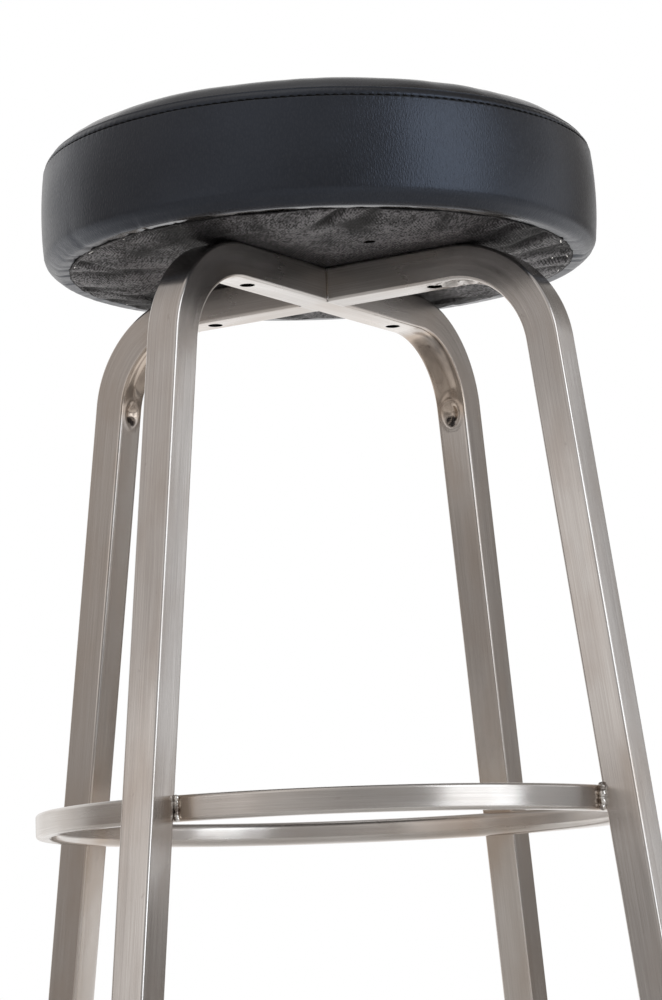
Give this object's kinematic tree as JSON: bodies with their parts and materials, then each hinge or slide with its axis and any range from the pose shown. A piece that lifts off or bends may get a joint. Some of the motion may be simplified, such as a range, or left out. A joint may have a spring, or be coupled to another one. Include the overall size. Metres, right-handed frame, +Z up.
{
  "type": "bar stool",
  "caption": "Backless bar stool with a round padded seat on two crossed square-tube U frames, splayed legs and a round foot ring.",
  "frame": {"origin": "on the floor under the centre of the seat", "axes": "+Z up along the stool's axis, -Y to the front, legs on the diagonals"},
  "size_m": [0.4273, 0.4272, 0.7862],
  "materials": {
    "leather": "satin",
    "woven_cover": "matte",
    "foam": "matte",
    "plywood": "matte",
    "brushed_tube": "brushed",
    "weld": "satin",
    "zinc_steel": "satin",
    "glide_plastic": "matte"
  },
  "bodies": {
    "root": {"seat_top_panel": "leather", "seat_side_band": "leather", "seat_foam": "foam", "seat_board": "plywood", "dust_cover": "woven_cover", "dust_cover_staples": "zinc_steel", "upholstery_staples": "zinc_steel", "seat_t_nuts": "zinc_steel", "seat_screws": "zinc_steel", "cross_welds": "weld", "foot_ring": "brushed_tube", "leg_tube_front_left_to_rear_right": "brushed_tube", "leg_tube_front_right": "brushed_tube", "leg_tube_rear_left": "brushed_tube", "ring_weld_front_right": "weld", "ring_weld_rear_right": "weld", "ring_weld_rear_left": "weld", "ring_weld_front_left": "weld", "glide_front_right": "glide_plastic", "glide_rear_right": "glide_plastic", "glide_rear_left": "glide_plastic", "glide_front_left": "glide_plastic"}
  },
  "joints": []
}
